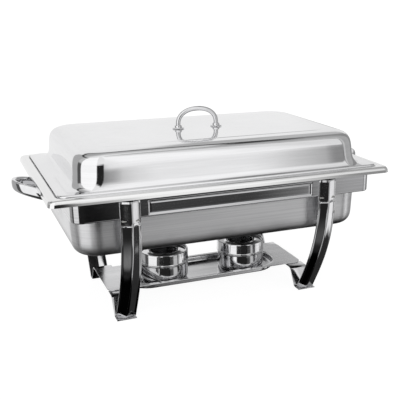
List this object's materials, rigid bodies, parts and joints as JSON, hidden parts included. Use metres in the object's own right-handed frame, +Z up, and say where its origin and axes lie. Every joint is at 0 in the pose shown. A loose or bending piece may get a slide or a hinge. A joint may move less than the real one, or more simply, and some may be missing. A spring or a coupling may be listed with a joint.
{
  "type": "chafing dish food warmer",
  "caption": "Rectangular covered food warmer: lidded pan nested in a water pan, carried by a framed stand on curved legs with a burner shelf below.",
  "frame": {"origin": "middle of the footprint, on the surface the feet stand on", "axes": "+X along the long side to the right, +Y to the back, +Z up"},
  "size_m": [0.6516, 0.356, 0.335],
  "materials": {
    "polished_steel": "mirror-polished stainless steel",
    "brushed_steel": "fine brushed stainless steel",
    "pan_steel": "satin stainless steel",
    "leg_steel": "polished stainless steel that mirrors dark surroundings",
    "zinc_steel": "plain bright fastener steel"
  },
  "bodies": {
    "frame": {"frame_band": "brushed_steel", "leg_bracket_front_left": "leg_steel", "leg_bracket_front_right": "leg_steel", "leg_bracket_back_left": "leg_steel", "leg_bracket_back_right": "leg_steel", "leg_front_left": "leg_steel", "leg_front_right": "leg_steel", "leg_back_left": "leg_steel", "leg_back_right": "leg_steel", "foot_strap_front_left": "leg_steel", "foot_strap_front_right": "leg_steel", "foot_strap_back_left": "leg_steel", "foot_strap_back_right": "leg_steel", "leg_pivot_pin_front_left": "zinc_steel", "leg_pivot_pin_front_right": "zinc_steel", "leg_pivot_pin_back_left": "zinc_steel", "leg_pivot_pin_back_right": "zinc_steel", "end_handle_left": "polished_steel", "end_handle_right": "polished_steel", "handle_screw_left_front": "zinc_steel", "handle_screw_left_back": "zinc_steel", "handle_screw_right_front": "zinc_steel", "handle_screw_right_back": "zinc_steel"},
    "water_pan": {"water_pan": "pan_steel"},
    "food_pan": {"food_pan": "brushed_steel"},
    "lid": {"lid_shell": "polished_steel", "lid_handle": "polished_steel", "lid_handle_collar_left": "polished_steel", "lid_handle_collar_right": "polished_steel", "lid_handle_nut_left": "zinc_steel", "lid_handle_nut_right": "zinc_steel"},
    "shelf": {"shelf_plate": "brushed_steel"},
    "burner_left": {"fuel_cup_left": "polished_steel"},
    "burner_right": {"fuel_cup_right": "polished_steel"},
    "burner_cover_left": {"fuel_cover_left": "polished_steel"},
    "burner_cover_right": {"fuel_cover_right": "polished_steel"}
  },
  "joints": [
    {"name": "water_pan_lift", "type": "slide", "parent": "frame", "child": "water_pan", "axis": [0, 0, 1], "range_m": [0, 0.12]},
    {"name": "food_pan_lift", "type": "slide", "parent": "water_pan", "child": "food_pan", "axis": [0, 0, 1], "range_m": [0, 0.09]},
    {"name": "lid_lift", "type": "slide", "parent": "food_pan", "child": "lid", "axis": [0, 0, 1], "range_m": [0, 0.15]},
    {"name": "shelf_slide", "type": "slide", "parent": "frame", "child": "shelf", "axis": [1, 0, 0], "range_m": [0, 0.4]},
    {"name": "burner_left_lift", "type": "slide", "parent": "shelf", "child": "burner_left", "axis": [0, 0, 1], "range_m": [0, 0.018]},
    {"name": "burner_right_lift", "type": "slide", "parent": "shelf", "child": "burner_right", "axis": [0, 0, 1], "range_m": [0, 0.018]},
    {"name": "burner_cover_left_lift", "type": "slide", "parent": "burner_left", "child": "burner_cover_left", "axis": [0, 0, 1], "range_m": [0, 0.024]},
    {"name": "burner_cover_right_lift", "type": "slide", "parent": "burner_right", "child": "burner_cover_right", "axis": [0, 0, 1], "range_m": [0, 0.024]}
  ]
}
